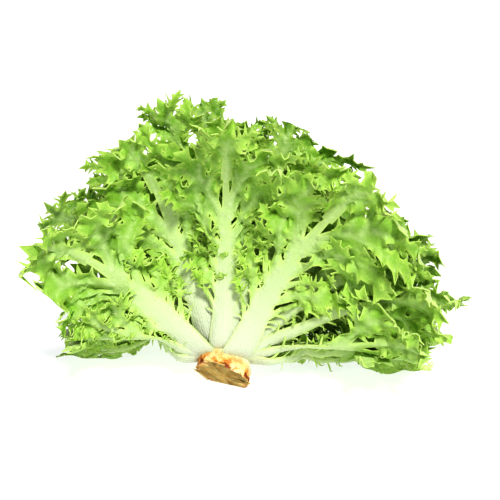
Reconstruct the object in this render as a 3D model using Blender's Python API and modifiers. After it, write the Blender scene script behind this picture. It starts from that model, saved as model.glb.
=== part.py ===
"""A head of curly endive, cut at the stem and lying back on its lower leaves.

The leaves grow from the stem in a golden-angle spiral. Each leaf lies on a cone-like shell of its own round
the head's axis, and the shells nest inside each other, so that no two leaves cross. A point of a leaf is given
by its reach from the head's centre and its distance across the rib, and the shell turns that into a place.
"""

import math
import random

import bmesh
import bpy
from mathutils import Vector
from mathutils.geometry import delaunay_2d_cdt

# The head as a whole (metres and radians)
AXIS = Vector((0.06, 0.64, 0.766)).normalized()  # from the cut stem towards the heart
CENTRE = Vector((0.0, 0.0, 0.0215))  # where the leaves would meet, inside the stem
LEAVES = 30
GOLDEN_ANGLE = math.radians(137.508)
FIRST_AZIMUTH = math.radians(35)
SEED = 11

# The rosette's opening: the polar angle of its outermost shell, at the front and back, and what the sides add
OPENING = math.radians(50)
SIDE_OPENING = math.radians(40)
LEFT_OPENING = math.radians(5)  # and how much further than that the left side lies open
CLOSING = 0.78  # share of the opening that is gone at the innermost leaf
CLOSING_POWER = 1.15  # the outer leaves close less than the inner ones
ROOT_POLAR = math.radians(96)  # where the outermost leaves are rooted, low on the stem's side
ROOT_BEND = 0.016  # reach over which a leaf bends from its root to its shell's own angle
LEAST_ROUND = 0.021  # leaves curl no tighter round the axis than this radius
RECURVE = math.radians(9)  # how far the tips of the outer leaves lean out

# Leaves
LONGEST = 0.192
BLADE = 0.0008  # thickness of the blade
RIB = 0.0030  # thickness of the rib at its root
RIB_HALF_WIDTH = 0.0088
TIP_HALF_WIDTH = 0.0014
RIPPLE = 0.054  # angle by which a leaf's margin waves to each side of its shell
FLOOR_GAP = 0.0001
LIFT = 0.0010  # how much higher each later leaf lies where it is pressed on the surface

# Stem
STEM_RADIUS = 0.0190
STEM_TOP = 0.0265  # reach of the stem's dome along the axis
ROOT_GAP = 0.0015  # between a leaf's root and the stem
SCAR_DEPTH = 0.0006
CUT_NORMAL = Vector((-0.33, -0.55, -0.766)).normalized()
CUT_DISTANCE = 0.0150

# Heart
HEART_LEAVES = 6
HEART_BUD = 0.0050  # radius of the bud that they grow from
HEART_TOP = 0.058


def clear_scene():
    for obj in list(bpy.data.objects):
        bpy.data.objects.remove(obj)


def material(name, colour, roughness):
    made = bpy.data.materials.new(name)
    made.use_nodes = True
    shader = made.node_tree.nodes["Principled BSDF"]
    shader.inputs["Base Color"].default_value = (*colour, 1.0)
    shader.inputs["Roughness"].default_value = roughness
    shader.inputs["Metallic"].default_value = 0.0
    return made


# The shells


def side_axes():
    """The two directions square to the axis: towards the open front, and towards the right."""
    front = (Vector((0, 0, 1)) - AXIS.z * AXIS).normalized()
    return front, AXIS.cross(front).normalized()


def opening(azimuth):
    """The rosette lies open to its sides, and less so to its front and back."""
    sideways = math.sin(azimuth)
    left = LEFT_OPENING * max(0.0, -sideways) ** 3
    return OPENING + SIDE_OPENING * abs(sideways) ** 3 + left


def polar_angle(order, azimuth, reach):
    """The angle from the axis of a leaf's shell, for its order from 0 (outermost) to 1 (innermost)."""
    wide = opening(azimuth)
    leaning = RECURVE * (1.0 - 0.8 * order) * (reach / LONGEST) ** 3
    near = math.exp(-max(0.0, reach - STEM_RADIUS) / ROOT_BEND)
    rooted = (ROOT_POLAR - wide) * max(0.0, 1.0 - order) * near
    return wide * (1.0 - CLOSING * order**CLOSING_POWER) + leaning + rooted


def shell_point(order, azimuth, reach, across, ripple=0.0, ramp=1.0):
    """The place of a leaf's point at this reach from the centre and distance across the rib."""
    middle = polar_angle(order, azimuth, reach) * ramp
    turned = azimuth + across / max(reach * math.sin(middle), LEAST_ROUND)
    polar = polar_angle(order, turned, reach) * ramp + ripple
    front, side = side_axes()
    outward = front * math.cos(turned) + side * math.sin(turned)
    return CENTRE + reach * (AXIS * math.cos(polar) + outward * math.sin(polar))


# The flat outline of a leaf: x is the distance across the rib, y is the reach


def rib_half_width(share):
    """Half the rib's width at this share of the way from its root to its tip."""
    narrowing = max(0.0, 1.0 - share) ** 0.9
    return TIP_HALF_WIDTH + (RIB_HALF_WIDTH - TIP_HALF_WIDTH) * narrowing


def heading_vector(heading):
    return Vector((math.sin(heading), math.cos(heading)))


def hand_outline(root, heading, size, fan, teeth, stalk):
    """A lobe: a narrow stalk that opens into a hand with pointed teeth round its end."""
    along = heading_vector(heading)
    across = Vector((along.y, -along.x))
    wrist = root + along * size * 0.42
    outline = [root, wrist - across * stalk]
    for k in range(2 * teeth - 1):
        turn = (k / (teeth - 1) - 1.0) * fan
        span = 0.58 * size * (0.58 if k % 2 else 1.0) * math.cos(0.45 * turn)
        outline.append(wrist + heading_vector(heading + turn) * span)
    outline.append(wrist + across * stalk)
    return outline


def spike_outline(root, heading, size):
    along = heading_vector(heading)
    across = Vector((along.y, -along.x)) * 0.0022
    return [root - across, root + along * size, root + across]


def rib_outline(start, end, stations):
    shares = [k / stations for k in range(stations + 1)]
    right = [Vector((rib_half_width(s), start + (end - start) * s)) for s in shares]
    left = [Vector((-point.x, point.y)) for point in reversed(right)]
    return right + left


def leaf_outlines(rng, order, start, end, pairs, spikes):
    """Every piece of a leaf's outline: its rib, its spikes, its pairs of hands and the hand at its tip."""
    run = end - start
    neck = start + 0.80 * run
    pieces = [rib_outline(start, neck, 3)]
    for k in range(spikes):
        side = 1 if k % 2 else -1
        share = 0.17 + 0.15 * k / spikes + rng.uniform(-0.01, 0.01)
        root = Vector((side * rib_half_width(share) * 0.5, start + share * run))
        pieces.append(spike_outline(root, side * rng.uniform(0.75, 1.0), rng.uniform(0.012, 0.017)))
    for k in range(pairs):
        for side in (-1, 1):
            share = 0.34 + 0.42 * (k + 0.25 * side) / pairs + rng.uniform(-0.015, 0.015)
            root = Vector((0.0, start + share * run))
            heading = side * (math.radians(56 - 30 * k / pairs) + rng.uniform(-0.09, 0.09))
            size = run * (0.27 + 0.10 * math.sin(math.pi * (k + 1) / (pairs + 1))) * rng.uniform(0.88, 1.12)
            size *= 1.0 - 0.4 * order * (1.0 - k / pairs)
            fan = math.radians(rng.uniform(50, 64))
            pieces.append(hand_outline(root, heading, size, fan, 3, 0.0036))
    tip = Vector((0.0, neck - 0.10 * run))
    size = end - tip.y
    pieces.append(hand_outline(tip, rng.uniform(-0.1, 0.1), size, math.radians(58), 3, 0.0036))
    return pieces


def anticlockwise(outline):
    following = outline[1:] + outline[:1]
    area = sum(a.x * b.y - a.y * b.x for a, b in zip(outline, following))
    return outline if area > 0 else outline[::-1]


def union_of(outlines, inner):
    """(points, triangles) of the flat sheet that the outlines cover together."""
    coords = []
    faces = []
    for outline in map(anticlockwise, outlines):
        faces.append(list(range(len(coords), len(coords) + len(outline))))
        coords += outline
    coords += inner
    points, _, triangles, _, _, covered_by = delaunay_2d_cdt(coords, [], faces, 1, 1e-6, True)
    return points, [t for t, covers in zip(triangles, covered_by) if covers]


# A leaf in space


def margin_wave(across, reach, half_span, phase):
    """How far the blade waves off its shell there, from -1 to 1: nothing at the rib, most at the margin."""
    outness = min(1.0, abs(across) / half_span) ** 1.3
    swing = math.sin(reach * 105.0 + phase + (1.9 if across > 0 else 0.0))
    return outness * swing


def pressed(point, half_thickness, lift):
    """The point, kept above the surface that the head lies on."""
    level = FLOOR_GAP + half_thickness + lift
    return Vector((point.x, point.y, max(point.z, level)))


def leaf_length(index, azimuth):
    """The outermost leaves are a little short, the next ones longest, and the inner ones shorter again.

    The longest leaves make a crest at the front and a shoulder on the right, and the left has the shortest.
    """
    grown = LONGEST * (1.0 - 0.06 * math.exp(-((index / 5) ** 2)))
    if index > 15:
        grown *= 1.0 - 0.50 * ((index - 15) / 15) ** 1.6
    crest = 0.11 * max(0.0, math.cos(azimuth + math.radians(16))) ** 12
    shoulder = 0.11 * max(0.0, math.cos(azimuth - math.radians(42))) ** 12
    low_left = 0.19 * max(0.0, -math.sin(azimuth)) ** 8
    behind = 0.10 * max(0.0, -math.cos(azimuth)) ** 4
    return grown * (0.99 + 0.03 * math.sin(azimuth) + crest + shoulder - low_left - behind)


def stem_reach(polar):
    """Reach of the stem's surface at this angle from the axis."""
    return STEM_TOP + (STEM_RADIUS - STEM_TOP) * min(1.0, polar / math.radians(80))


def sheet_mesh(name, outlines, inner, place, weight):
    """The outlines' sheet, moved into space by place(across, reach), with the rib's share of the thickness."""
    points, triangles = union_of(outlines, inner)
    bm = bmesh.new()
    weights = bm.verts.layers.deform.verify()
    verts = []
    for x, y in points:
        vert = bm.verts.new(place(x, y))
        vert[weights][0] = weight(x, y)
        verts.append(vert)
    for triangle in triangles:
        bm.faces.new([verts[k] for k in triangle])
    loose = [v for v in bm.verts if not v.link_faces]
    bmesh.ops.delete(bm, geom=loose, context="VERTS")
    bmesh.ops.recalc_face_normals(bm, faces=bm.faces)
    mesh = bpy.data.meshes.new(name)
    bm.to_mesh(mesh)
    bm.free()
    return mesh


def add_leaf(name, mesh, collection, finish):
    obj = bpy.data.objects.new(name, mesh)
    collection.objects.link(obj)
    obj.vertex_groups.new(name="rib")
    mesh.materials.append(finish)
    solid = obj.modifiers.new("thickness", "SOLIDIFY")
    solid.thickness = RIB
    solid.offset = 0.0
    solid.vertex_group = "rib"
    solid.thickness_vertex_group = BLADE / RIB
    return obj


def rib_weight(across, share):
    """1 on the rib's middle line at its root, 0 on the blade."""
    return max(0.0, 1.0 - abs(across) / rib_half_width(share)) * max(0.0, 1.0 - 0.85 * share)


def rib_points(start, end):
    """Points on the rib's middle line, which carry its thickness."""
    return [Vector((0.0, start + (end - start) * share)) for share in (0.0, 0.1, 0.25)]


def make_leaf(index, collection, finish):
    rng = random.Random(SEED + index)
    order = index / LEAVES
    azimuth = FIRST_AZIMUTH + GOLDEN_ANGLE * index
    end = leaf_length(index, azimuth)
    start = stem_reach(polar_angle(order, azimuth, STEM_RADIUS)) + ROOT_GAP
    run = end - start
    phase = rng.uniform(0, 2 * math.pi)
    sway = rng.uniform(-0.10, 0.10)
    pairs = 3 if index < 22 else 2
    outlines = leaf_outlines(rng, order, start, end, pairs, 3)
    calm = 1.1 - 0.85 * order
    lift = LIFT * max(0, index - 1)

    def place(across, reach):
        share = (reach - start) / run
        wave = margin_wave(across, reach, 0.24 * run, phase) * RIPPLE * calm
        bent = azimuth + sway * share**2
        half = 0.5 * (BLADE + (RIB - BLADE) * rib_weight(across, share))
        slimmed = across * (1.0 - 0.45 * order * max(0.0, 1.0 - share / 0.3))
        return pressed(shell_point(order, bent, reach, slimmed, wave), half, lift)

    def weight(across, reach):
        return rib_weight(across, (reach - start) / run)

    name = f"leaf_{index + 1:02d}"
    mesh = sheet_mesh(name, outlines, rib_points(start, end - 0.2 * run), place, weight)
    return add_leaf(name, mesh, collection, finish)


# The heart


def heart_leaf(index, collection, finish):
    """One of the small leaves that close the heart, rooted in its bud."""
    rng = random.Random(SEED + 100 + index)
    order = 1.02 + 0.17 * index / HEART_LEAVES
    azimuth = FIRST_AZIMUTH + GOLDEN_ANGLE * (LEAVES + index)
    start = STEM_TOP + 0.004
    end = 0.088 - 0.0022 * index
    run = end - start
    outlines = leaf_outlines(rng, order, start, end, 1, 0)
    phase = rng.uniform(0, 2 * math.pi)

    def place(across, reach):
        share = (reach - start) / run
        wave = margin_wave(across, reach, 0.24 * run, phase) * RIPPLE * 0.8
        ramp = 0.10 + 0.90 * min(1.0, share / 0.6)
        return shell_point(order, azimuth, reach, across, wave, ramp)

    def weight(across, reach):
        return rib_weight(across, (reach - start) / run)

    mesh = sheet_mesh(f"heart_leaf_{index}", outlines, rib_points(start, end - 0.2 * run), place, weight)
    return add_leaf(mesh.name, mesh, collection, finish)


def turned_mesh(name, profile, steps):
    """A closed body turned round the head's axis, from (radius, distance along the axis) points."""
    bm = bmesh.new()
    front, _ = side_axes()
    verts = [bm.verts.new(CENTRE + front * radius + AXIS * along) for radius, along in profile]
    edges = [bm.edges.new(pair) for pair in zip(verts, verts[1:])]
    bmesh.ops.spin(
        bm, geom=verts + edges, cent=CENTRE, axis=AXIS, angle=2 * math.pi, steps=steps, use_merge=True
    )
    bmesh.ops.remove_doubles(bm, verts=bm.verts, dist=1e-5)
    bmesh.ops.recalc_face_normals(bm, faces=bm.faces)
    mesh = bpy.data.meshes.new(name)
    bm.to_mesh(mesh)
    bm.free()
    return mesh


def mesh_with_modifiers(obj):
    graph = bpy.context.evaluated_depsgraph_get()
    return bpy.data.meshes.new_from_object(obj.evaluated_get(graph))


def make_heart(collection, joined_in, finish):
    """The bud, with the small leaves joined to it in one body."""
    profile = [(0.0, STEM_TOP + 0.0007)]
    for k in range(1, 8):
        share = k / 8
        radius = HEART_BUD * math.sin(math.pi * share) ** 0.6
        profile.append((radius, STEM_TOP + share * (HEART_TOP - STEM_TOP)))
    profile.append((0.0, HEART_TOP))
    heart = bpy.data.objects.new("heart", turned_mesh("heart", profile, 10))
    collection.objects.link(heart)
    heart.data.materials.append(finish)
    leaves = [heart_leaf(k, joined_in, finish) for k in range(HEART_LEAVES)]
    bpy.context.view_layer.update()
    joined = heart.modifiers.new("leaves", "BOOLEAN")
    joined.operation = "UNION"
    joined.operand_type = "COLLECTION"
    joined.collection = joined_in
    joined.solver = "EXACT"
    bpy.context.view_layer.update()
    heart.data = mesh_with_modifiers(heart)
    heart.modifiers.clear()
    for leaf in leaves:
        bpy.data.objects.remove(leaf)
    return heart


# The stem


def cut_off(bm, point, normal):
    """Takes away what lies beyond the plane, and closes the cut with a flat face."""
    cut = bmesh.ops.bisect_plane(
        bm, geom=bm.verts[:] + bm.edges[:] + bm.faces[:], plane_co=point, plane_no=normal, clear_outer=True
    )
    edges = [g for g in cut["geom_cut"] if isinstance(g, bmesh.types.BMEdge)]
    bmesh.ops.contextual_create(bm, geom=edges)


def scar_the_collar(bm):
    """Dents the stem's side below the leaves' roots, as the scars of leaves that were pulled off do."""
    front, side = side_axes()
    for vert in bm.verts:
        local = vert.co - CENTRE
        along = local.dot(AXIS)
        outward = local - AXIS * along
        if along > -0.005 or outward.length < 0.001:
            continue
        turn = math.atan2(outward.dot(side), outward.dot(front))
        dent = math.sin(5 * turn + 260 * along) + 0.6 * math.sin(8 * turn - 410 * along + 1)
        vert.co += outward.normalized() * SCAR_DEPTH * dent


def make_stem(collection, finish):
    """The stem under a dome that the leaves grow from, with its slanting cut and the flat that it rests on."""
    profile = [(0.0, -0.040)]
    collar = ((0.93, 0.040), (0.97, 0.013), (1.04, 0.0085))
    profile += [(STEM_RADIUS * share, -along) for share, along in collar]
    for k in range(8):
        polar = math.radians(98 - 14 * k)
        reach = stem_reach(polar)
        profile.append((max(0.0, reach * math.sin(polar)), reach * math.cos(polar)))
    mesh = turned_mesh("stem", profile, 26)
    bm = bmesh.new()
    bm.from_mesh(mesh)
    scar_the_collar(bm)
    cut_off(bm, CENTRE + CUT_NORMAL * CUT_DISTANCE, CUT_NORMAL)
    cut_off(bm, Vector((0, 0, 0)), Vector((0, 0, -1)))
    bmesh.ops.recalc_face_normals(bm, faces=bm.faces)
    bm.to_mesh(mesh)
    bm.free()
    stem = bpy.data.objects.new("stem", mesh)
    collection.objects.link(stem)
    mesh.materials.append(finish)
    return stem


def stand_on_origin(nodes):
    """Moves the head sideways, so that the origin is under the middle of its box."""
    graph = bpy.context.evaluated_depsgraph_get()
    corners = []
    for obj in nodes:
        mesh = obj.evaluated_get(graph).to_mesh()
        corners += [v.co.copy() for v in mesh.vertices]
        obj.evaluated_get(graph).to_mesh_clear()
    middle = [(min(c[k] for c in corners) + max(c[k] for c in corners)) / 2 for k in (0, 1)]
    head = bpy.data.objects.new("endive_head", None)
    bpy.context.scene.collection.objects.link(head)
    head.location = (-middle[0], -middle[1], 0.0)
    for obj in nodes:
        obj.parent = head


def main():
    clear_scene()
    collection = bpy.data.collections.new("curly_endive_head")
    heart_leaves = bpy.data.collections.new("heart_leaves")
    bpy.context.scene.collection.children.link(collection)
    bpy.context.scene.collection.children.link(heart_leaves)
    green = material("leaf_green", (0.36, 0.60, 0.13), 0.5)
    pale = material("heart_yellow", (0.78, 0.85, 0.38), 0.5)
    cream = material("stem_cream", (0.72, 0.58, 0.30), 0.6)
    nodes = [make_leaf(k, collection, green) for k in range(LEAVES)]
    nodes.append(make_stem(collection, cream))
    nodes.append(make_heart(collection, heart_leaves, pale))
    bpy.context.view_layer.update()
    stand_on_origin(nodes)


main()
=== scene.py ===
"""A head of curly endive, cut at the stem and lying back on its lower leaves.

Every leaf is cut from a flat plan: a rib, lobes that branch from it, and fingers with sharp teeth. The plan is
laid on the leaf's own shell round the head's axis, ruffled towards its margin, and thickened along its veins.
"""

import math
import random

import bmesh
import bpy
import numpy as np
from mathutils import Matrix, Vector, noise
from mathutils.geometry import delaunay_2d_cdt


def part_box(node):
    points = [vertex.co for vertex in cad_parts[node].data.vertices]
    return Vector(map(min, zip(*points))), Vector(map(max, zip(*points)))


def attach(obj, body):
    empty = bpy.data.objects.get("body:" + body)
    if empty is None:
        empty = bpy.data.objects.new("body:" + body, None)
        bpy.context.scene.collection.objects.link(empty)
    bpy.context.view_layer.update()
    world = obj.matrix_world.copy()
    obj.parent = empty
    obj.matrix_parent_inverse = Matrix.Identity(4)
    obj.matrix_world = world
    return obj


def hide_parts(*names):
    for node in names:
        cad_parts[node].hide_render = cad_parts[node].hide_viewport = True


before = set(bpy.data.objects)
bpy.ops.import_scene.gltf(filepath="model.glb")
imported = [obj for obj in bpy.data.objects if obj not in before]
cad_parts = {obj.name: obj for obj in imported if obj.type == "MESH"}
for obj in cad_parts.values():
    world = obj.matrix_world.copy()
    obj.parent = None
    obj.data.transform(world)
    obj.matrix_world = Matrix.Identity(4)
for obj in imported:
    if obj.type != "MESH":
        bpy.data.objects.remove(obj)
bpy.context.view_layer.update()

# The head as a whole (metres and radians)
AXIS = Vector((0.06, 0.64, 0.766)).normalized()  # from the cut stem towards the heart
CENTRE = Vector((0.0, 0.0, 0.0215))  # where the leaves would meet, inside the stem
LEAVES = 30
LEAVES_BETWEEN = 26
TALL_BETWEEN = (5, 8, 13, 16)  # those of them that reach the crown
# The slim leaves low on both sides: (azimuth in degrees, place in the spiral, spread in degrees, length, slimness)
LOW_LEAVES = (
    (83, 0.4, 15, 0.86, 0.6),
    (97, 1.4, 9, 0.98, 0.7),
    (71, 2.4, 8, 0.84, 0.5),
    (89, 2.6, 10, 0.9, 0.5),
    (62, 3.6, 3, 0.9, 0.5),
    (77, 4.6, 5, 0.94, 0.5),
    (54, 4.8, 1, 0.84, 0.45),
    (67, 5.8, 2, 0.9, 0.45),
    (86, 6.2, 5, 0.86, 0.45),
    (47, 7.4, 0, 0.74, 0.45),
    (-81, 0.6, 9, 1.0, 0.6),
    (-98, 1.6, 5, 1.0, 0.6),
    (-66, 2.2, 4, 0.74, 0.5),
    (-75, 3.2, 4, 0.8, 0.45),
    (-57, 4.4, 1, 0.76, 0.45),
)
GOLDEN_ANGLE = math.radians(137.508)
FIRST_AZIMUTH = math.radians(35)

# Seeds: the form that a leaf shares with its solid, the forms of the further leaves, and the fine detail of each
SEED = 11
BETWEEN_SEED = 300
LOW_SEED = 400
DETAIL_SEED = 500
HEART_SEED = 800

# The crown, as it shows from the front and a little above
ELEVATION = math.radians(20)
VIEW_TILT = Vector((math.sin(ELEVATION), math.cos(ELEVATION)))  # how y and z add up to height, from there
CROWN = 0.176  # reach of the head from its stem
LOW_LEFT = 0.045  # how much less that is near the surface, on the left
LOW_RIGHT = 0.022  # and on the right
# Where the crown stands out or back: (lean from upright in degrees, how far in metres, over what width)
CREST = (
    (-12, 0.024, 7),
    (0, 0.008, 5),
    (24, -0.010, 8),
    (54, 0.013, 5),
    (64, -0.012, 5),
    (79, 0.022, 5),
    (-26, -0.010, 6),
    (-73.5, -0.066, 7),
)

# The rosette's opening: the polar angle of its outermost shell, at the front and back, and what the sides add
OPENING = math.radians(50)
SIDE_OPENING = math.radians(40)
LEFT_OPENING = math.radians(5)  # and how much further than that the left side lies open
CLOSING = 0.78  # share of the opening that is gone at the innermost leaf
CLOSING_POWER = 1.15  # the outer leaves close less than the inner ones
ROOT_POLAR = math.radians(96)  # where the outermost leaves are rooted, low on the stem's side
ROOT_BEND = 0.016  # reach over which a leaf bends from its root to its shell's own angle
LEAST_ROUND = 0.021  # leaves curl no tighter round the axis than this radius
RECURVE = math.radians(9)  # how far the tips of the outer leaves lean out

# Leaves
LONGEST = 0.192
BLADE = 0.0007  # thickness of the blade
RIB = 0.0030  # thickness of the rib at its root
LOBE_VEIN = 0.0014  # how far the vein of a lobe stands out at its root
FINGER_VEIN = 0.0007  # and the vein of a finger
RIB_HALF_WIDTH = 0.0098
TIP_HALF_WIDTH = 0.0014
CLASP = 0.0036  # how much the rib widens on each side at its root
PALM = 0.088  # half the width of a lobe's palm, as a share of the lobe's length
WIDE_PALM = 0.102  # on leaves that show their backs
TIP_PALM = 0.105  # the same for the lobe at the tip
WIDE_TIP_PALM = 0.118
TIP_FAN = math.radians(76)  # how far the fingers of the tip spread to each side
STRIPS = 12  # narrow branches along a bare rib
STEP = 0.0019  # between the points that a leaf's sheet is divided into
SCRAP = 20  # a loose patch of fewer faces is taken out
SUNK = 0.0015  # how far a leaf's root goes into the stem

# How leaves wave: a height, and how many waves there are in a metre
RIPPLE = 0.054  # angle by which a leaf's margin waves to each side of its shell
FRILL, FRILLS = 0.0125, 105.0  # along the margin
CRIMP, CRIMPS = 0.0040, 230.0  # on the frills
SWELL, SWELLS = 0.012, 34.0  # inside the leaf
FRILL_DEPTH = 0.0038  # how far in from the margin the frills die away

# Leaves on the surface
FLOOR_GAP = 0.0001
FLOOR_BUMP, FLOOR_BUMPS = 0.022, 55.0  # where a resting leaf stands clear of the surface
LIFT = 0.0010  # how much higher each later leaf lies where it is pressed on the surface

# Stem
STEM_RADIUS = 0.0190
STEM_TOP = 0.0265  # reach of the stem's dome along the axis
STEM_FOOT = -0.040  # where its side begins along the axis, beyond the cut
STEM_SIDE = 0.0315
CUT_NORMAL = Vector((-0.345, -0.70, -0.625)).normalized()
CUT_DISTANCE = 0.0136
SCAR_DENT = 0.0006
SCAR_LUMP = 0.0009

# Heart
HEART_LEAVES = 6
HEART_LENGTH = 0.088  # reach of its outermost leaf


def smooth(x):
    """0 up to 0, 1 from 1 on, and an even change between."""
    x = np.clip(x, 0.0, 1.0)
    return x * x * (3.0 - 2.0 * x)


# The shells that the leaves lie on


def side_axes():
    """The two directions square to the axis: towards the open front, and towards the right."""
    front = (Vector((0, 0, 1)) - AXIS.z * AXIS).normalized()
    return front, AXIS.cross(front).normalized()


def opening(azimuth):
    """The rosette lies open to its sides, and less so to its front and back."""
    sideways = np.sin(azimuth)
    left = LEFT_OPENING * np.maximum(0.0, -sideways) ** 3
    return OPENING + SIDE_OPENING * np.abs(sideways) ** 3 + left


def polar_angle(order, azimuth, reach):
    """The angle from the axis of a leaf's shell, for its order from 0 (outermost) to 1 (innermost)."""
    wide = opening(azimuth)
    leaning = RECURVE * (1.0 - 0.8 * order) * (reach / LONGEST) ** 3
    near = np.exp(-np.maximum(0.0, reach - STEM_RADIUS) / ROOT_BEND)
    rooted = (ROOT_POLAR - wide) * max(0.0, 1.0 - order) * near
    return wide * (1.0 - CLOSING * order**CLOSING_POWER) + leaning + rooted


def shell_points(order, azimuth, reach, across, ripple=0.0, ramp=1.0):
    """The places of points at this reach from the centre and distance across the rib."""
    middle = polar_angle(order, azimuth, reach) * ramp
    turned = azimuth + across / np.maximum(reach * np.sin(middle), LEAST_ROUND)
    polar = polar_angle(order, turned, reach) * ramp + ripple
    front, side = (np.array(v) for v in side_axes())
    outward = np.cos(turned)[:, None] * front + np.sin(turned)[:, None] * side
    along = np.cos(polar)[:, None] * np.array(AXIS) + np.sin(polar)[:, None] * outward
    return np.array(CENTRE) + reach[:, None] * along


def stem_reach(polar):
    """Reach of the stem's surface at this angle from the axis."""
    return STEM_TOP + (STEM_RADIUS - STEM_TOP) * min(1.0, polar / math.radians(80))


def leaf_length(index, azimuth):
    """The outermost leaves are a little short, the next ones longest, and the inner ones shorter again."""
    grown = LONGEST * (1.0 - 0.06 * math.exp(-((index / 5) ** 2)))
    if index > 15:
        grown *= 1.0 - 0.50 * ((index - 15) / 15) ** 1.6
    crest = 0.11 * max(0.0, math.cos(azimuth + math.radians(16))) ** 12
    shoulder = 0.11 * max(0.0, math.cos(azimuth - math.radians(42))) ** 12
    low_left = 0.19 * max(0.0, -math.sin(azimuth)) ** 8
    behind = 0.10 * max(0.0, -math.cos(azimuth)) ** 4
    return grown * (0.99 + 0.03 * math.sin(azimuth) + crest + shoulder - low_left - behind)


def crown(leaning):
    """How far the head reaches from its stem towards this lean from upright, as seen from the front."""
    degrees = np.degrees(leaning)
    reach = CROWN - LOW_LEFT * smooth((-degrees - 76) / 6) - LOW_RIGHT * smooth((degrees - 82) / 6)
    for lean, more, width in CREST:
        reach = reach + more * np.exp(-(((degrees - lean) / width) ** 2))
    return reach


def seen_from_front(places):
    """(lean from upright, distance from the stem) of each point, as seen from the front."""
    x, y, z = (places - np.array(CENTRE)).T
    up = VIEW_TILT[0] * y + VIEW_TILT[1] * z
    return np.arctan2(x, up), np.hypot(x, up)


def trimmed_length(order, azimuth, end, rng):
    """The leaf's length, shortened until its tip stays within the head's crown."""
    across = np.array((0.0, -0.018, 0.018))
    lean, far = seen_from_front(shell_points(order, np.full(3, azimuth), np.full(3, end), across))
    return end * max(0.62, min(1.0, float((crown(lean) / far).min()) * rng.uniform(0.96, 1.03)))


def held_in(places):
    """What still stands out beyond the crown bends in towards it."""
    lean, far = seen_from_front(places)
    beyond = np.maximum(0.0, far - crown(lean))
    share = 1.0 - (0.62 + 0.22 * np.sin(lean * 50.0)) * beyond / np.maximum(far, 0.01)
    return np.array(CENTRE) + (places - np.array(CENTRE)) * share[:, None]


# The flat plan of a leaf: x is the distance across the rib, y is the reach


def rib_half_width(share, slim=1.0):
    """Half the rib's width at this share of the way from its root, where it clasps the stem, to its tip."""
    narrowing = np.maximum(0.0, 1.0 - share) ** 1.35
    clasp = CLASP * np.exp(-np.maximum(0.0, share) / 0.11)
    return TIP_HALF_WIDTH + slim * ((RIB_HALF_WIDTH - TIP_HALF_WIDTH) * narrowing + clasp)


def heading_vector(heading):
    """The direction in the flat plan at this angle from the rib's, with the right side positive."""
    return Vector((math.sin(heading), math.cos(heading)))


def bent_line(root, first, last, length, steps):
    """A middle line that sets out in its first heading and ends in its last."""
    line = [root]
    for k in range(steps):
        heading = first + (last - first) * (k + 0.5) / steps
        line.append(line[-1] + heading_vector(heading) * (length / steps))
    return line


def on_line(line, t):
    """(the point, the direction) at this share of a middle line."""
    place = min(max(t, 0.0), 1.0) * (len(line) - 1)
    k = min(int(place), len(line) - 2)
    step = line[k + 1] - line[k]
    return line[k] + step * (place - k), step.normalized()


def toothed_outline(rng, line, stalk, palm, first, teeth, spike, palm_at=0.12):
    """A lobe: a stalk that widens into a palm with sharp teeth, long and short in turn, and rounded bays between."""

    def half_width(t):
        wide = stalk + (palm - stalk) * smooth((t - palm_at) / 0.5)
        closing = max(0.0, (t - 0.6) / 0.4)
        return wide * math.sqrt(max(0.02, 1.0 - closing * closing))

    def offset(t, side, more=0.0, ahead=0.0):
        point, along = on_line(line, t)
        out = Vector((along.y, -along.x)) * side
        return point + out * (half_width(t) + more) + along * ahead

    edges = []
    for side in (1, -1):
        edge = [offset(0.0, side), offset(first * 0.5, side)]
        bays = [first + (0.97 - first) * k / teeth for k in range(teeth + 1)]
        for k, (a, b) in enumerate(zip(bays, bays[1:])):
            length = spike * rng.uniform(0.8, 1.3) * (0.6 if k % 2 else 1.1)
            at = a + (b - a) * rng.uniform(0.5, 0.7)
            tip = offset(at, side, length * 0.8, length * rng.uniform(0.4, 0.9))
            deep = -min(0.3 * spike, 0.4 * half_width(a))
            before = offset(a, side, deep)
            after = offset(b, side, deep)
            inward = offset(at, side) - offset(at, side, 0.24 * length)
            edge += [before, before.lerp(tip, 0.5) + inward, tip, tip.lerp(after, 0.45) + inward]
        edges.append(edge)
    point, along = on_line(line, 1.0)
    apex = point + along * spike * rng.uniform(0.5, 1.0)
    return edges[0] + [apex] + edges[1][::-1]


def hand(rng, root, heading, size, fan, fingers, bend, stalk=0.0032, palm=PALM, palm_at=0.12):
    """(outlines, veins) of a lobe: a palm with sharp teeth, and fingers to both sides with teeth of their own."""
    line = bent_line(root, heading * (1 - bend), heading * (1 + bend), size * 0.92, 8)
    outlines = [toothed_outline(rng, line, stalk, palm * size, 0.36, 6 if size > 0.04 else 4, 0.0056, palm_at)]
    veins = [(line, LOBE_VEIN)]
    for k in range(fingers):
        for side in (-1, 1):
            t = 0.36 + 0.40 * (k + 0.5 + 0.22 * side) / fingers + rng.uniform(-0.04, 0.04)
            start, along = on_line(line, t)
            own = math.atan2(along.x, along.y)
            away = side * fan * rng.uniform(0.8, 1.15) * (1.05 - 0.4 * t)
            length = size * rng.uniform(0.38, 0.56) * (1.0 - 0.5 * abs(t - 0.5))
            finger = bent_line(start, own + 0.6 * away, own + 1.1 * away, length, 5)
            veins.append((finger, FINGER_VEIN))
            outlines.append(toothed_outline(rng, finger, 0.0019, 0.040 * size + 0.0004, 0.25, 4, 0.0040))
    return outlines, veins


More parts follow.
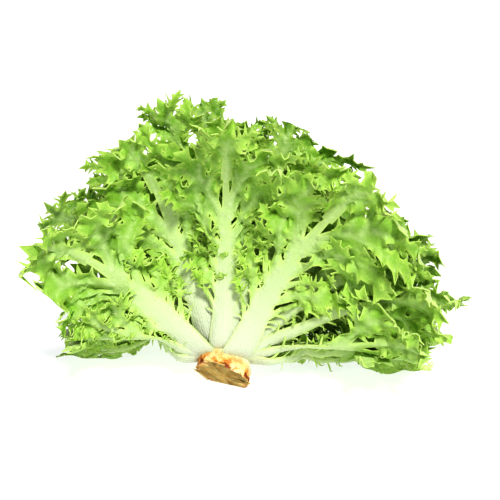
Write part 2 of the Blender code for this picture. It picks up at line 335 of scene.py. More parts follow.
def feather(rng, root, heading, size, bend):
    """(outlines, veins) of a strap-like lobe low on the rib, with small teeth and narrow branches."""
    line = bent_line(root, heading * (1 - bend), heading * (1 + bend), size * 0.95, 8)
    outlines = [toothed_outline(rng, line, 0.0024, 0.0034, 0.22, 8, 0.0038, 0.2)]
    veins = [(line, LOBE_VEIN)]
    for k in range(2):
        for side in (-1, 1):
            start, along = on_line(line, 0.30 + 0.28 * k + rng.uniform(-0.06, 0.06))
            own = math.atan2(along.x, along.y)
            finger = bent_line(start, own + side * 0.3, own + side * 0.8, size * rng.uniform(0.22, 0.38), 5)
            veins.append((finger, FINGER_VEIN))
            outlines.append(toothed_outline(rng, finger, 0.0013, 0.0017, 0.25, 4, 0.0026))
    return outlines, veins


def spine_outline(line, half_width):
    """A soft spine that narrows to its tip."""
    edges = [], []
    for k in range(4):
        point, along = on_line(line, k / 4)
        out = Vector((along.y, -along.x)) * half_width * (1.0 - k / 4) ** 0.6
        edges[0].append(point + out)
        edges[1].append(point - out)
    return edges[0] + [line[-1]] + edges[1][::-1]


def rib_plan(start, neck, slim, steps=14):
    """(the outline of a leaf's rib, its middle line)"""
    shares = [k / steps for k in range(steps + 1)]
    right = [Vector((rib_half_width(s, slim), start + (neck - start) * s)) for s in shares]
    left = [Vector((-p.x, p.y)) for p in reversed(right)]
    return right + left, [Vector((0.0, start + (neck - start) * s)) for s in shares]


def main_lobes(form, order, start, end, pairs, spikes):
    """(share, side, heading, size, fan) of each main lobe, and the lean of the tip, as the solid leaf has them.

    The solid leaf draws its spikes first, three numbers for each. The same draws are made here and not used.
    """
    run = end - start
    for _ in range(3 * spikes):
        form.random()
    lobes = []
    for k in range(pairs):
        for side in (-1, 1):
            share = 0.34 + 0.42 * (k + 0.25 * side) / pairs + form.uniform(-0.015, 0.015)
            heading = side * (math.radians(56 - 30 * k / pairs) + form.uniform(-0.09, 0.09))
            size = run * (0.27 + 0.10 * math.sin(math.pi * (k + 1) / (pairs + 1))) * form.uniform(0.88, 1.12)
            size *= 1.0 - 0.4 * order * (1.0 - k / pairs)
            lobes.append((share, side, heading, size, math.radians(form.uniform(50, 64))))
    return lobes, form.uniform(-0.1, 0.1)


def add_strips(rng, start, run, slim, outlines, veins):
    """Narrow branches, with a few teeth, in turn on both sides of a bare rib."""
    for k in range(STRIPS):
        side = 1 if k % 2 else -1
        share = 0.12 + 0.52 * k / STRIPS + rng.uniform(-0.02, 0.02)
        root = Vector((side * rib_half_width(share, slim) * 0.7, start + share * run))
        first, last = side * rng.uniform(0.25, 0.45), side * rng.uniform(0.6, 1.0)
        line = bent_line(root, first, last, rng.uniform(0.15, 0.26) * run, 8)
        outlines.append(toothed_outline(rng, line, 0.0015, 0.0027, 0.6, 4, 0.0032, 0.5))
        veins.append((line, LOBE_VEIN))


def add_shreds(rng, count, start, run, slim, outlines):
    """Soft spines, thin as threads, in turn on both sides of the rib."""
    for k in range(count):
        side = 1 if k % 2 else -1
        share = 0.12 + 0.42 * k / count + rng.uniform(-0.012, 0.012)
        half_width = rib_half_width(share, slim)
        root = Vector((side * half_width * 0.6, start + share * run))
        length = rng.uniform(0.5, 1.0) ** 2 * 0.015 + 0.4 * half_width
        line = bent_line(root, side * rng.uniform(0.3, 0.7), side * rng.uniform(0.8, 1.5), length, 4)
        outlines.append(spine_outline(line, rng.uniform(0.0007, 0.0010)))


def leaf_plan(form, rng, order, start, end, pairs, spikes, shreds, bare=False, slim=1.0):
    """The leaf's sheets, each as (outlines, veins, root or None): the main one, and the lesser lobes over it.

    A leaf that shows its back to the front is bare along its rib: its lower lobes are narrow, as on antlers.
    """
    run = end - start
    neck = start + 0.80 * run
    lobes, lean = main_lobes(form, order, start, end, pairs, spikes)
    rib, middle = rib_plan(start, neck, slim)
    outlines, veins, lesser = [rib], [(middle, RIB)], []
    for place, (share, side, heading, size, fan) in enumerate(lobes):
        root = Vector((0.0, start + share * run))
        low = root + Vector((side * 0.4 * rib_half_width(share - 0.1, slim), -0.13 * run))
        away = root + heading_vector(heading) * size - low
        turned = math.atan2(away.x, away.y)
        narrow = pairs > 1 and place < 2
        if slim < 1.0:
            if place < 4:
                continue
            share += 0.10
        if narrow:
            made = feather(rng, low, turned * (0.8 if bare else 1.0), away.length * (0.8 if bare else 1.0), 0.5)
        elif bare and place < 4:
            length = away.length * 0.95
            made = hand(rng, low, turned * 0.8, length, 0.7 * fan, 2, 0.5, stalk=0.0030, palm_at=0.30)
        else:
            palm = WIDE_PALM if bare else PALM
            made = hand(rng, low, turned, away.length, fan, 2, 0.55, stalk=0.0036, palm=palm)
        outlines += made[0]
        veins += made[1]
        if bare and (place < 4 or order < 0.4):
            continue
        root = Vector((side * 0.4 * rib_half_width(share, slim), start + share * run))
        turned = heading * rng.uniform(0.7, 1.0)
        if narrow:
            made = feather(rng, root, turned, size * rng.uniform(0.7, 1.0), 0.4)
        else:
            made = hand(rng, root, turned, size * rng.uniform(0.6, 0.85), fan, 1, 0.4)
        lesser.append((*made, root))
    tip = Vector((0.0, neck - 0.10 * run))
    palm = WIDE_TIP_PALM if bare else TIP_PALM
    made = hand(rng, tip, lean, end - tip.y, TIP_FAN, 3, 0.3, stalk=0.0034, palm=palm)
    outlines += made[0]
    veins += made[1]
    if bare and slim == 1.0:
        add_strips(rng, start, run, slim, outlines, veins)
    add_shreds(rng, shreds, start, run, slim, outlines)
    return [(outlines, veins, None)] + lesser


# From a plan to an evenly divided sheet


def anticlockwise(outline):
    """The outline, turned round if it runs clockwise."""
    following = outline[1:] + outline[:1]
    area = sum(a.x * b.y - a.y * b.x for a, b in zip(outline, following))
    return outline if area > 0 else outline[::-1]


def margins_of(outlines):
    """The margins of the shape that the outlines cover together: (points, pairs of them)."""
    coords = []
    faces = []
    for outline in map(anticlockwise, outlines):
        faces.append(list(range(len(coords), len(coords) + len(outline))))
        coords += outline
    points, _, triangles, _, _, covered_by = delaunay_2d_cdt(coords, [], faces, 1, 1e-6, True)
    count = {}
    for triangle, covers in zip(triangles, covered_by):
        if not covers:
            continue
        for a, b in zip(triangle, triangle[1:] + triangle[:1]):
            key = (min(a, b), max(a, b))
            count[key] = count.get(key, 0) + 1
    margin = [key for key, sides in count.items() if sides == 1]
    used = sorted({k for key in margin for k in key})
    number = {old: new for new, old in enumerate(used)}
    return [points[k] for k in used], [(number[a], number[b]) for a, b in margin]


def inside_of(points, ends):
    """Whether each point lies inside the margins, by counting the margins to its right."""
    inside = np.zeros(len(points), bool)
    a, b = ends[:, 0], ends[:, 1]
    rise = np.where(b[:, 1] == a[:, 1], 1.0, b[:, 1] - a[:, 1])
    for start in range(0, len(points), 2000):
        p = points[start : start + 2000]
        spans = (a[None, :, 1] > p[:, None, 1]) != (b[None, :, 1] > p[:, None, 1])
        at = a[None, :, 0] + (p[:, None, 1] - a[None, :, 1]) / rise * (b[None, :, 0] - a[None, :, 0])
        inside[start : start + 2000] = (spans & (at > p[:, None, 0])).sum(1) % 2 == 1
    return inside


def nearest_on(points, ends):
    """Each point's (distance to the nearest of these edges, edge, share of the way along it)."""
    far, which, where = [], [], []
    a, step = ends[:, 0], ends[:, 1] - ends[:, 0]
    square = np.maximum((step**2).sum(1), 1e-14)
    for start in range(0, len(points), 1000):
        p = points[start : start + 1000]
        away = p[:, None] - a[None]
        share = np.clip((away * step[None]).sum(2) / square, 0.0, 1.0)
        distance = np.sqrt(((away - share[..., None] * step[None]) ** 2).sum(2))
        best = distance.argmin(1)
        rows = np.arange(len(p))
        far.append(distance[rows, best])
        which.append(best)
        where.append(share[rows, best])
    return np.concatenate(far), np.concatenate(which), np.concatenate(where)


def divided_sheet(outlines, veins):
    """(points, triangles, margins) of the sheet, with its points on its veins and evenly between."""
    coords, edges = margins_of(outlines)
    ends = np.array([[coords[a][:], coords[b][:]] for a, b in edges])
    low, high = ends.min((0, 1)), ends.max((0, 1))
    rows = np.arange(low[1], high[1], STEP * 0.87)
    columns = np.arange(low[0], high[0], STEP)
    grid = np.stack(np.meshgrid(columns, rows), 2)
    grid[1::2, :, 0] += STEP / 2
    grid = grid.reshape(-1, 2)
    on_veins = np.array([p[:] for line, _ in veins for p in line])
    near = np.sqrt(((grid[:, None] - on_veins[None]) ** 2).sum(2)).min(1)
    grid = np.concatenate([grid[near > 0.55 * STEP], on_veins])
    keep = inside_of(grid, ends)
    keep[keep] = nearest_on(grid[keep], ends)[0] > 0.36 * STEP
    coords += [Vector(p) for p in grid[keep]]
    points, _, triangles, _, _, _ = delaunay_2d_cdt(coords, edges, [], 0, 1e-6, False)
    flat = np.array([p[:] for p in points])
    triangles = np.array(triangles)
    return flat, triangles[inside_of(flat[triangles].mean(1), ends)], ends


def vein_relief(points, veins, slim):
    """(thickness, paleness) at each point, from how near it lies to a vein."""
    thick = np.full(len(points), BLADE)
    pale = np.zeros(len(points))
    for line, depth in veins:
        ends = np.array([[a[:], b[:]] for a, b in zip(line, line[1:])])
        far, which, where = nearest_on(points, ends)
        share = (which + where) / len(ends)
        if depth == RIB:
            wide = rib_half_width(share * 0.8, slim)
            swell = smooth((1.08 - far / wide) / 0.85) * (0.9 + 0.1 * np.cos(far / wide * 11.0))
            rooted = smooth((share + 0.01) / 0.06)
            thick = np.maximum(thick, BLADE + (RIB - BLADE) * swell * rooted * (1.0 - 0.75 * share))
            pale = np.maximum(pale, (1.0 - 0.5 * share) * smooth(1.6 - far / (wide * 1.25)))
        else:
            wide = (0.0025 if depth == LOBE_VEIN else 0.0015) * (1.0 - 0.6 * share)
            swell = smooth(1.0 - far / wide)
            thick = np.maximum(thick, BLADE + depth * swell * (1.0 - 0.7 * share))
            strength = 0.9 if depth == LOBE_VEIN else 0.6
            whitish = 0.65 * smooth(1.25 - far / (2.0 * wide)) + 0.25 * smooth(1.0 - far / (0.4 * wide))
            pale = np.maximum(pale, strength * np.maximum(0.0, 1.0 - share) ** 1.2 * whitish)
    return thick, pale


# From a flat sheet to a leaf in space


def waves(points, in_a_metre, key):
    """Smooth noise from about -1 to 1 at each point of the flat plan."""
    return np.array([noise.noise(Vector((x * in_a_metre, y * in_a_metre, key))) for x, y in points])


def ruffle(points, far_in, key, strength):
    """How far the sheet stands off its shell at each point: small frills at the margin, long swells inside."""
    near_margin = np.exp(-far_in / FRILL_DEPTH)
    off_rib = 1.0 - np.exp(-np.abs(points[:, 0]) / 0.022)
    frills = waves(points, FRILLS, key) * near_margin * FRILL
    crimps = waves(points, CRIMPS, key + 80.0) * near_margin**1.6 * CRIMP
    swells = waves(points, SWELLS, key + 40.0) * off_rib * SWELL
    return (frills + crimps + swells) * strength


def folded_back(places):
    """What would lie on the surface in front of the head is folded back beside it, as the lower leaves are."""
    x, y, z = places.T
    uneven = np.array([noise.noise(Vector((v * 55.0, 0.3, 0.7))) for v in x])
    line = np.where(x > 0, 0.010 + 0.15 * x, 0.048) + 0.016 * uneven
    low = smooth((0.045 - z) / 0.03) * smooth((np.abs(x) - 0.028) / 0.03)
    before = np.maximum(0.0, line - y)
    folded = places.copy()
    folded[:, 1] += 0.90 * before * low
    folded[:, 2] += 0.10 * before * low
    return folded


def take_out_scraps(bm):
    """Deletes the faces that stand on an edge as a third, and loose scraps of a few faces."""
    crowded = [edge for edge in bm.edges if len(edge.link_faces) > 2]
    third = {min(edge.link_faces, key=lambda face: face.calc_area()) for edge in crowded}
    bmesh.ops.delete(bm, geom=list(third), context="FACES")
    seen = set()
    scraps = []
    for first in bm.faces:
        if first in seen:
            continue
        seen.add(first)
        patch = [first]
        for face in patch:
            beside = [other for edge in face.edges for other in edge.link_faces if other not in seen]
            beside = list(dict.fromkeys(beside))
            seen.update(beside)
            patch += beside
        if len(patch) < SCRAP:
            scraps += patch
    bmesh.ops.delete(bm, geom=scraps, context="FACES")


class LeafMaker:
    """Lays a leaf's sheets on its shell and gathers them in one mesh."""

    def __init__(self, name, order, azimuth, start, end, phase, sway, waved, lift, ramp=None):
        self.name, self.order, self.azimuth = name, order, azimuth
        self.start, self.run = start, end - start
        self.phase, self.sway = phase, sway
        self.waved = waved  # how far it waves and frills, as a share of what the outermost leaves do
        self.lift = lift
        self.ramp = ramp
        self.frilled = 1.0  # how strong its frills are beside its waves
        self.nod = 0.0  # painted shade: how much darker its green is painted, as for a leaf set deep in the head
        self.painted_depth_shade = 0.2  # how much deeper its green is
        self.slim = 1.0
        self.spread = 0.0  # how much wider open it lies
        self.bm = bmesh.new()
        self.weights = self.bm.verts.layers.deform.verify()
        self.pale = self.bm.verts.layers.float.new("paleness")
        self.margin = self.bm.verts.layers.float.new("margin")
        self.tone_and_painted_shade = self.bm.verts.layers.float.new("tone_and_painted_shade")
        self.grain = self.bm.verts.layers.float.new("grain")

    def shell(self, flat, over):
        """The places of flat points on the leaf's shell, waved, and leaning out by these further angles."""
        across, reach = flat[:, 0], flat[:, 1]
        share = (reach - self.start) / self.run
        outness = np.minimum(1.0, np.abs(across) / (0.24 * self.run)) ** 1.3
        swing = np.sin(reach * 105.0 + self.phase + np.where(across > 0, 1.9, 0.0))
        wave = outness * swing * RIPPLE * self.waved
        bent = self.azimuth + self.sway * share**2
        slimmed = across * (1.0 - 0.45 * min(1.0, self.order) * np.maximum(0.0, 1.0 - share / 0.3))
        ramp = self.ramp(share) if self.ramp else 1.0
        over = over + self.nod * np.maximum(0.0, share - 0.6) ** 2 + self.spread * smooth(share / 0.3)
        return shell_points(self.order, bent, reach, slimmed, wave + over, ramp)

    def settled(self, places, flat, thick, key):
        """What would lie below the surface lies on it, and stands clear of it here and there off the rib."""
        level = FLOOR_GAP + thick + self.lift
        bumps = np.maximum(0.0, waves(flat, FLOOR_BUMPS, key + 20.0))
        bumps = FLOOR_BUMP * bumps * smooth((np.abs(flat[:, 0]) - 0.006) / 0.014)
        near = smooth((level + 0.012 - places[:, 2]) / 0.012)
        places[:, 2] = np.maximum(places[:, 2], level) + bumps * near
        return places

    def add_sheet(self, outlines, veins, root, tilt, key):
        """Adds a sheet of the leaf: the main one, or a lobe that stands over it from its root by this tilt."""
        flat, triangles, margins = divided_sheet(outlines, veins)
        thick, pale = vein_relief(flat, veins, self.slim)
        far_in = nearest_on(flat, margins)[0]
        share = (flat[:, 1] - self.start) / self.run
        over = np.zeros(len(flat))
        if root is not None:
            away = np.sqrt(((flat - np.array(root)) ** 2).sum(1))
            over = tilt * smooth(away / 0.02) * (0.4 + away / 0.05) / np.maximum(flat[:, 1], 0.03)
        places = self.shell(flat, over)
        ahead = self.shell(flat + np.array((0.0, 0.0005)), over) - places
        aside = self.shell(flat + np.array((0.0005, 0.0)), over) - places
        normals = np.cross(aside, ahead)
        normals /= np.linalg.norm(normals, axis=1)[:, None]
        stiff = 0.7 * smooth((thick - BLADE) / 0.0008)
        if root is None:
            from_rib = np.abs(flat[:, 0]) / rib_half_width(share, self.slim)
            stiff = np.maximum(stiff, smooth((1.7 - from_rib) / 0.5))
        loose = (1.0 - stiff) * smooth(share / 0.3)
        places += normals * (ruffle(flat, far_in, key, self.frilled * self.waved) * loose)[:, None]
        places = self.settled(held_in(folded_back(held_in(places))), flat, thick, key)
        near_root = 1.0 - (np.maximum(0.0, share) / 0.32) ** 1.5
        blanched = near_root * (1.0 - smooth((np.abs(flat[:, 0]) - 0.009) / 0.014))
        verts = []
        # Painted shade: a leaf set deep in the head gets a darker green, on top of a random tone for each sheet and
        # in blotches.
        shade = 0.5 + self.painted_depth_shade + 0.7 * noise.noise(Vector((key * 3.1, 0.5, 0.5)))
        for k in range(len(flat)):
            vert = self.bm.verts.new(places[k])
            vert[self.weights][0] = thick[k] / RIB
            whitened = max(pale[k], blanched[k]) if root is None else 0.6 * pale[k]
            vert[self.pale] = min(1.0, whitened)
            vert[self.margin] = math.exp(-far_in[k] / 0.0009)
            vert[self.grain] = flat[k][0] * 1000.0
            blotch = noise.noise(Vector(places[k]) * 22.0 + Vector((key, 0, 0)))
            vert[self.tone_and_painted_shade] = max(0.0, min(1.0, shade + 0.6 * blotch))
            verts.append(vert)
        for triangle in triangles:
            self.bm.faces.new([verts[k] for k in triangle])

    def finished(self, age_and_depth):
        """The leaf as an object: its doubled points merged, its thickness given, and its outer side marked."""
        bm = self.bm
        bmesh.ops.delete(bm, geom=[v for v in bm.verts if not v.link_faces], context="VERTS")
        bmesh.ops.remove_doubles(bm, verts=bm.verts, dist=0.00012)
        bmesh.ops.dissolve_degenerate(bm, edges=bm.edges, dist=0.00002)
        take_out_scraps(bm)
        mesh = bpy.data.meshes.new(self.name)
        bm.to_mesh(mesh)
        bm.free()
        sheet = bpy.data.objects.new(self.name + "_sheet", mesh)
        bpy.context.scene.collection.objects.link(sheet)
        sheet.vertex_groups.new(name="thickness")
        solid = sheet.modifiers.new("thickness", "SOLIDIFY")
        solid.thickness = RIB
        solid.offset = 1.0
        solid.vertex_group = "thickness"
        solid.thickness_vertex_group = 0.0
        graph = bpy.context.evaluated_depsgraph_get()
        solid_mesh = bpy.data.meshes.new_from_object(sheet.evaluated_get(graph))
        count = len(mesh.vertices)  # the sheet's own points come first, and those of the outer side after them
        bpy.data.objects.remove(sheet)
        marks = solid_mesh.attributes.new("outside", "FLOAT", "POINT")
        values = np.zeros(len(solid_mesh.vertices), np.float32)
        values[count:] = 1.0
        marks.data.foreach_set("value", values)
        ages = solid_mesh.attributes.new("age_and_depth", "FLOAT", "POINT")
        ages.data.foreach_set("value", np.full(len(values), age_and_depth, np.float32))
        leaf = bpy.data.objects.new(self.name, solid_mesh)
        bpy.context.scene.collection.objects.link(leaf)
        return leaf


# Finishes


class Finish:
    """A material being wired: each call adds a node and gives back its output."""

    def __init__(self, name, roughness, subsurface=0.0, radius=(0.5, 1.0, 0.2), scale=0.002):
        self.material = bpy.data.materials.new(name)
        self.material.use_nodes = True
        self.tree = self.material.node_tree
        self.shader = self.tree.nodes["Principled BSDF"]
        self.shader.inputs["Roughness"].default_value = roughness
        self.shader.inputs["Subsurface Weight"].default_value = subsurface
        self.shader.inputs["Subsurface Radius"].default_value = radius
        self.shader.inputs["Subsurface Scale"].default_value = scale
        self.shader.inputs["Specular IOR Level"].default_value = 0.3
        self.coordinates = self.tree.nodes.new("ShaderNodeTexCoord").outputs["Object"]

    def put(self, socket, value):
        """Links another node's output to this socket, or sets it to a number or a colour."""
        if isinstance(value, bpy.types.NodeSocket):
            self.tree.links.new(value, socket)
        elif isinstance(value, tuple) and len(value) == 3:
            socket.default_value = (*value, 1.0)
        else:
            socket.default_value = value

    def mark(self, name):
        """One of the piece's own marks, such as how pale it is here."""
        node = self.tree.nodes.new("ShaderNodeAttribute")
        node.attribute_name = name
        return node.outputs["Fac"]

    def sum(self, operation, a, b=0.0, c=0.0, clamp=False):
        node = self.tree.nodes.new("ShaderNodeMath")
        node.operation = operation
        node.use_clamp = clamp
        for socket, value in zip(node.inputs, (a, b, c)):
            self.put(socket, value)
        return node.outputs[0]

    def mix(self, share, a, b):
        node = self.tree.nodes.new("ShaderNodeMix")
        node.data_type = "RGBA"
        self.put(node.inputs[0], share)
        self.put(node.inputs[6], a)
        self.put(node.inputs[7], b)
        return node.outputs[2]

    def span(self, value, low, high, to_low=0.0, to_high=1.0):
        """The value's way from low to high, as a way from to_low to to_high."""
        node = self.tree.nodes.new("ShaderNodeMapRange")
        for socket, number in zip(node.inputs, (value, low, high, to_low, to_high)):
            self.put(socket, number)
        return node.outputs[0]

    def noise(self, scale, detail=3.0, rough=0.5):
        node = self.tree.nodes.new("ShaderNodeTexNoise")
        self.put(node.inputs["Vector"], self.coordinates)
        node.inputs["Scale"].default_value = scale
        node.inputs["Detail"].default_value = detail
        node.inputs["Roughness"].default_value = rough
        return node.outputs["Fac"]

    def net(self, scale):
        """Distance to the edges of small cells, as between the finest veins."""
        node = self.tree.nodes.new("ShaderNodeTexVoronoi")
        node.feature = "DISTANCE_TO_EDGE"
        self.put(node.inputs["Vector"], self.coordinates)
        node.inputs["Scale"].default_value = scale
        return node.outputs["Distance"]

    def bump(self, height, distance, strength=1.0):
        node = self.tree.nodes.new("ShaderNodeBump")
        node.inputs["Strength"].default_value = strength
        node.inputs["Distance"].default_value = distance
        self.put(node.inputs["Height"], height)
        self.tree.links.new(node.outputs["Normal"], self.shader.inputs["Normal"])

    def paint(self, colour):
        self.put(self.shader.inputs["Base Color"], colour)
        return self.material


def srgb(red, green, blue):
    """A colour given as it looks, from 0 to 255, as the light it sends back."""
    return tuple((c / 255 / 12.92) if c <= 10 else ((c / 255 + 0.055) / 1.055) ** 2.4 for c in (red, green, blue))


def leaf_finish():
    """Pale matt undersides, greener upper sides, white grained ribs, light margins, and a net of fine veins, with
    painted shade: a darker green on the inner leaves' upper sides and on leaves that don't show at the front.
    """
    f = Finish("endive_leaf", 0.38, 0.04, (0.6, 1.0, 0.3), 0.0010)
    pale, margin, outside, age_and_depth, tone_and_painted_shade = (f.mark(n) for n in ("paleness", "margin", "outside", "age_and_depth", "tone_and_painted_shade"))
    patches = f.noise(38.0, 3.0)
    fine = f.noise(240.0, 3.0)
    veins = f.net(330.0)
    # Painted shade: the upper sides of the inner leaves are painted a darker green, for the shade of the gaps they
    # show in.
    upper = f.mix(age_and_depth, srgb(98, 164, 8), srgb(138, 184, 68))
    lower = f.mix(age_and_depth, srgb(210, 230, 152), srgb(212, 232, 166))
    blade = f.mix(outside, upper, lower)
    # Painted shade with a random tone: the blade darkens towards deep green where this mark is high, less so on the
    # outer side.
    tone_and_shade_share = f.sum("MULTIPLY", f.span(tone_and_painted_shade, 0.2, 1.0, 0.0, 0.7), f.span(outside, 0.0, 1.0, 1.0, 0.55))
    blade = f.mix(tone_and_shade_share, blade, f.mix(outside, srgb(24, 90, 0), srgb(118, 172, 48)))
    blade = f.mix(f.span(patches, 0.35, 0.68), blade, f.mix(0.12, blade, srgb(204, 234, 120)))
    blade = f.mix(f.span(veins, 0.0, 0.09, 0.22, 0.0), blade, srgb(206, 230, 128))
    rib = f.mix(f.span(pale, 0.7, 1.0), srgb(196, 220, 150), srgb(208, 213, 190))
    whitened = f.sum("MULTIPLY_ADD", fine, 0.06, f.sum("SUBTRACT", pale, 0.03), clamp=True)
    leaf = f.mix(f.span(whitened, 0.08, 0.75), blade, rib)
    leaf = f.mix(f.sum("MULTIPLY", margin, 0.5), leaf, srgb(210, 236, 124))
    stripes = f.sum("SINE", f.sum("MULTIPLY_ADD", fine, 3.5, f.sum("MULTIPLY", f.mark("grain"), 3.2)))
    grained = f.sum("MULTIPLY", f.sum("MULTIPLY", stripes, 0.25), f.span(pale, 0.5, 1.0))
    crinkles = f.sum("MULTIPLY", f.noise(95.0, 2.0), f.span(pale, 0.3, 0.9, 4.0, 0.0))
    small = f.sum("MULTIPLY_ADD", f.span(veins, 0.0, 0.12), 0.5, fine)
    f.bump(f.sum("ADD", grained, f.sum("ADD", small, crinkles)), 0.0004, 0.7)
    return f.paint(leaf)


def stem_finish():
    """A cut painted near white, lighter than its own beige, as painted light; a red-brown rim, orange and brown
    scars round it, and cream-white sides above them.
    """
    f = Finish("endive_stem", 0.6, 0.15, (1.0, 0.8, 0.4), 0.002)
    below, core = f.mark("from_cut"), f.mark("core")
    lumps = f.noise(300.0, 4.0, 0.65)
    patches = f.noise(130.0, 3.0, 0.6)
    side = f.mix(f.span(below, 0.008, 0.015), srgb(232, 208, 142), srgb(234, 238, 208))
    scar = f.mix(f.span(lumps, 0.40, 0.58), srgb(196, 112, 44), srgb(246, 178, 80))
    scar = f.mix(f.span(patches, 0.50, 0.60), scar, srgb(236, 224, 172))
    near = f.sum("MULTIPLY_ADD", f.sum("SUBTRACT", patches, 0.5), 0.022, below)
    side = f.mix(f.span(near, 0.004, 0.010), scar, side)
    side = f.mix(f.span(near, 0.0002, 0.0024), srgb(134, 62, 22), side)
    # Painted light: the cut face is painted near white, lighter than its own beige, for light that hardly reaches it
    # as it faces down.
    face = f.mix(f.span(lumps, 0.35, 0.65), srgb(255, 220, 130), srgb(255, 240, 172))
    face = f.mix(f.span(core, 0.05, 0.35), srgb(214, 140, 66), face)
    cut = f.mark("cut")
    stem = f.mix(cut, side, face)
    f.bump(f.sum("MULTIPLY", lumps, f.span(cut, 0.0, 1.0, 1.0, 0.3)), 0.0016, 0.8)
    return f.paint(stem)


# The stem


def turned_mesh(profile, steps):
    """A closed body turned round the head's axis, from (radius, distance along the axis) points."""
    bm = bmesh.new()
    front, _ = side_axes()
    verts = [bm.verts.new(CENTRE + front * radius + AXIS * along) for radius, along in profile]
    edges = [bm.edges.new(pair) for pair in zip(verts, verts[1:])]
    bmesh.ops.spin(
        bm, geom=verts + edges, cent=CENTRE, axis=AXIS, angle=2 * math.pi, steps=steps, use_merge=True
    )
    bmesh.ops.remove_doubles(bm, verts=bm.verts, dist=1e-5)
    bmesh.ops.recalc_face_normals(bm, faces=bm.faces)
    return bm


def cut_off(bm, point, normal):
    """Takes away what lies beyond the plane, and closes the cut with a flat face, which it gives back."""
    cut = bmesh.ops.bisect_plane(
        bm, geom=bm.verts[:] + bm.edges[:] + bm.faces[:], plane_co=point, plane_no=normal, clear_outer=True
    )
    edges = [g for g in cut["geom_cut"] if isinstance(g, bmesh.types.BMEdge)]
    made = bmesh.ops.contextual_create(bm, geom=edges)
    return made["faces"][0]


def scar_the_collar(bm):
    """The scars of pulled-off leaves below the roots of those that are left, as dents and torn ridges."""
    front, side = side_axes()
    for vert in bm.verts:
        local = vert.co - CENTRE
        along = local.dot(AXIS)
        outward = local - AXIS * along
        if outward.length < 0.001:
            continue
        turn = math.atan2(outward.dot(side), outward.dot(front))
        dent = math.sin(5 * turn + 260 * along) + 0.6 * math.sin(8 * turn - 410 * along + 1)
        lump = noise.noise(local * 330.0) + 0.6 * noise.noise(local * 620.0)
        depth = min(1.0, max(0.0, (-along - 0.002) / 0.004))
        vert.co += outward.normalized() * depth * (SCAR_DENT * dent + SCAR_LUMP * lump)


def stem_profile(side_steps=25, dome_steps=14):
    """(radius, distance along the axis) from the stem's foot up its side, which widens, and over its dome."""
    profile = [(0.0, STEM_FOOT)]
    for k in range(side_steps + 1):
        along = STEM_FOOT + STEM_SIDE * k / side_steps
        profile.append((STEM_RADIUS * (0.93 + 0.11 * smooth((along + 0.030) / 0.0215)), along))
    for k in range(dome_steps + 1):
        polar = math.radians(98 - 98 / dome_steps * k)
        reach = stem_reach(polar)
        profile.append((max(0.0, reach * math.sin(polar)), reach * math.cos(polar)))
    return profile


def make_stem():
    """The stem, scarred and cut off aslant, with rings in its cut face that mark the core."""
    bm = turned_mesh(stem_profile(), 110)
    scar_the_collar(bm)
    plane = CENTRE + CUT_NORMAL * CUT_DISTANCE
    face = cut_off(bm, plane, CUT_NORMAL)
    from_cut = bm.verts.layers.float.new("from_cut")
    core = bm.verts.layers.float.new("core")
    cut = bm.verts.layers.float.new("cut")
    for share in (0.12, 0.3, 0.6, 1.0):
        bmesh.ops.inset_individual(bm, faces=[face], thickness=0.0012 if share < 0.2 else 0.003, depth=0.0)
        for vert in face.verts:
            vert[core] = share
            vert[cut] = 1.0
    bmesh.ops.poke(bm, faces=[face])
    for vert in bm.verts:
        vert[from_cut] = (plane - vert.co).dot(CUT_NORMAL)
    resting = cut_off(bm, Vector((0, 0, 0)), Vector((0, 0, -1)))
    bmesh.ops.triangulate(bm, faces=[resting])
    bmesh.ops.recalc_face_normals(bm, faces=bm.faces)
    mesh = bpy.data.meshes.new("stem_visual")
    bm.to_mesh(mesh)
    bm.free()
    stem = bpy.data.objects.new("cut_stem", mesh)
    bpy.context.scene.collection.objects.link(stem)
    return stem


# The leaves and the heart


def make_leaf(name, index, azimuth, length, lift, form, spread=0.0, slim=1.0):
    """A leaf of this place in the spiral, where half a place lies between two of the others."""
    rng = random.Random(int(DETAIL_SEED + 10 * index))
    order = index / LEAVES
    end = trimmed_length(order, azimuth, leaf_length(index, azimuth) * length, rng)
    start = stem_reach(float(polar_angle(order, azimuth, STEM_RADIUS))) - SUNK
    phase = form.uniform(0, 2 * math.pi)
    sway = form.uniform(-0.10, 0.10)
    bare = math.cos(azimuth) > -0.2 and index < 18
    shows = bare and index < 12  # its back is what the front of the head shows
    shreds = 28 if shows and slim == 1.0 else 12
    sheets = leaf_plan(form, rng, order, start, end, 3 if index < 22 else 2, 3, shreds, bare, slim)
    leaf = LeafMaker(name, order, azimuth, start, end, phase, sway, 1.1 - 0.85 * order, lift)
    leaf.nod = rng.uniform(-0.7, 0.7)
    leaf.spread = spread
    leaf.slim = slim
    # Painted shade: leaves that show at the front are painted lighter, the others darker, as if shaded deep in the
    # head.
    leaf.painted_depth_shade = -0.25 if shows else 0.3
    leaf.frilled = 0.95 if shows else 1.15
    for k, (outlines, veins, root) in enumerate(sheets):
        tilt = 0.0 if root is None else rng.choice((-1, 1)) * rng.uniform(0.004, 0.010)
        leaf.add_sheet(outlines, veins, root, tilt, index * 3.7 + k * 1.3)
    return leaf.finished(1.0 - order)


def from_bud(share):
    """The heart's leaves leave their bud along the axis, and open to their shells above it."""
    return 0.10 + 0.90 * np.clip(share / 0.6, 0.0, 1.0)


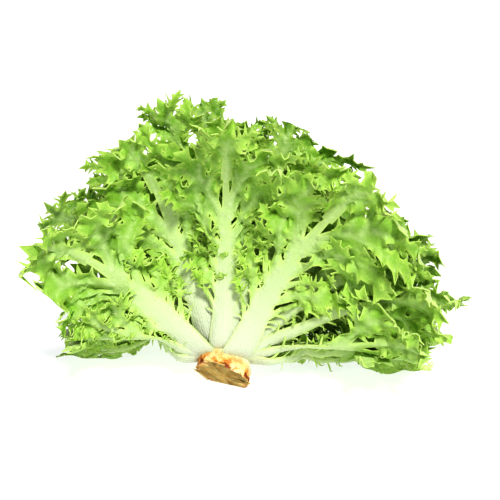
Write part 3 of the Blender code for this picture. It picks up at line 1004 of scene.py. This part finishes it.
def make_heart_leaf(index):
    """One of the small pale leaves at the middle, which carry the spiral on."""
    form = random.Random(SEED + 100 + index)
    rng = random.Random(HEART_SEED + index)
    name = f"heart_leaf_{index + 1}"
    order = 1.02 + 0.17 * index / HEART_LEAVES
    azimuth = FIRST_AZIMUTH + GOLDEN_ANGLE * (LEAVES + index)
    start = STEM_TOP + 0.004
    end = HEART_LENGTH - 0.0022 * index
    sheets = leaf_plan(form, rng, order, start, end, 1, 0, 10)
    leaf = LeafMaker(name, order, azimuth, start, end, form.uniform(0, 6), 0.0, 0.8, 0.0, from_bud)
    for k, (outlines, veins, root) in enumerate(sheets):
        tilt = 0.0 if root is None else rng.choice((-1, 1)) * 0.003
        leaf.add_sheet(outlines, veins, root, tilt, 200 + index * 3.7 + k * 1.3)
    return leaf.finished(0.0)


def place(piece, offset, finish, slot, nodes):
    """Moves the piece to where the head stands, gives it its finish, tells what it rides on, and hides the solid
    parts it stands for.
    """
    piece.data.transform(Matrix.Translation(offset))
    piece.data.materials.clear()
    piece.data.materials.append(finish)
    piece.data.shade_smooth()
    piece.data.set_sharp_from_angle(angle=math.radians(50))
    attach(piece, "root")
    if nodes:
        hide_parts(*nodes)


def standing_place(stem):
    """How far the stem moves sideways to stand where its solid stands."""
    points = np.array([v.co for v in stem.data.vertices])
    solid_low, solid_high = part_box("stem")
    middle = 0.5 * (np.array(solid_low) + np.array(solid_high)) - 0.5 * (points.min(0) + points.max(0))
    return Vector((middle[0], middle[1], 0.0))


stem = make_stem()
offset = standing_place(stem)
leaf_material = leaf_finish()
place(stem, offset, stem_finish(), "stem_cream", ["stem"])
for index in range(LEAVES):
    name = f"endive_leaf_{index + 1:02d}"
    azimuth = FIRST_AZIMUTH + GOLDEN_ANGLE * index
    leaf = make_leaf(name, index, azimuth, 1.0, LIFT * max(0, index - 1), random.Random(SEED + index))
    place(leaf, offset, leaf_material, "leaf_green", [f"leaf_{index + 1:02d}"])
for index in range(LEAVES_BETWEEN):
    name = f"leaf_between_{index + 1:02d}"
    azimuth = FIRST_AZIMUTH + GOLDEN_ANGLE * (index + 0.5)
    length = 1.0 if index + 1 in TALL_BETWEEN else 0.62 + 0.05 * (index % 4)
    leaf = make_leaf(name, index + 3.5, azimuth, length, LIFT * (index + 1), random.Random(BETWEEN_SEED + index))
    place(leaf, offset, leaf_material, "leaf_green", [])
for index, (degrees, order, spread, length, slim) in enumerate(LOW_LEAVES):
    name = f"low_leaf_{index + 1}"
    form = random.Random(LOW_SEED + index)
    leaf = make_leaf(name, order, math.radians(degrees), length, 0.0, form, math.radians(spread), slim)
    place(leaf, offset, leaf_material, "leaf_green", [])
for index in range(HEART_LEAVES):
    place(make_heart_leaf(index), offset, leaf_material, "heart_yellow", ["heart"])


# The floor, the light and the camera


def add_sun(towards, strength, softness):
    """A wide soft light from far away in this direction."""
    lamp = bpy.data.lights.new("softbox", "SUN")
    lamp.energy = strength
    lamp.angle = math.radians(softness)
    obj = bpy.data.objects.new("softbox", lamp)
    bpy.context.scene.collection.objects.link(obj)
    obj.rotation_euler = Vector(towards).to_track_quat("Z", "Y").to_euler()


def make_floor():
    """A plain white floor that glows a little, so that it stays white to its edges."""
    bm = bmesh.new()
    bmesh.ops.create_grid(bm, x_segments=1, y_segments=1, size=6.0)
    mesh = bpy.data.meshes.new("floor")
    bm.to_mesh(mesh)
    bm.free()
    floor = bpy.data.objects.new("floor", mesh)
    bpy.context.scene.collection.objects.link(floor)
    f = Finish("white_floor", 0.9)
    f.shader.inputs["Emission Color"].default_value = (0.97, 0.985, 1.0, 1.0)
    f.shader.inputs["Emission Strength"].default_value = 0.55
    floor.data.materials.append(f.paint((0.5, 0.5, 0.5)))


def fill_with_light(strength):
    """The same white light from all around."""
    world = bpy.data.worlds.new("studio")
    bpy.context.scene.world = world
    world.use_nodes = True
    world.node_tree.nodes["Background"].inputs["Color"].default_value = (1, 1, 1, 1)
    world.node_tree.nodes["Background"].inputs["Strength"].default_value = strength


def set_camera(aim, field, lens):
    """A camera that looks down at this point from the front, with a field of view this wide there."""
    camera_data = bpy.data.cameras.new("camera")
    camera = bpy.data.objects.new("camera", camera_data)
    bpy.context.scene.collection.objects.link(camera)
    bpy.context.scene.camera = camera
    camera_data.lens = lens
    distance = lens * field / camera_data.sensor_width
    camera.location = aim + Vector((0, -math.cos(ELEVATION), math.sin(ELEVATION))) * distance
    camera.rotation_euler = (aim - camera.location).to_track_quat("-Z", "Y").to_euler()


make_floor()
fill_with_light(0.18)
add_sun((0.22, -0.80, 0.92), 2.6, 12)
set_camera(Vector((0.0, 0.0, 0.088)), 0.3745, 90)
bpy.context.scene.view_settings.view_transform = "Standard"
bpy.context.scene.view_settings.look = "High Contrast"
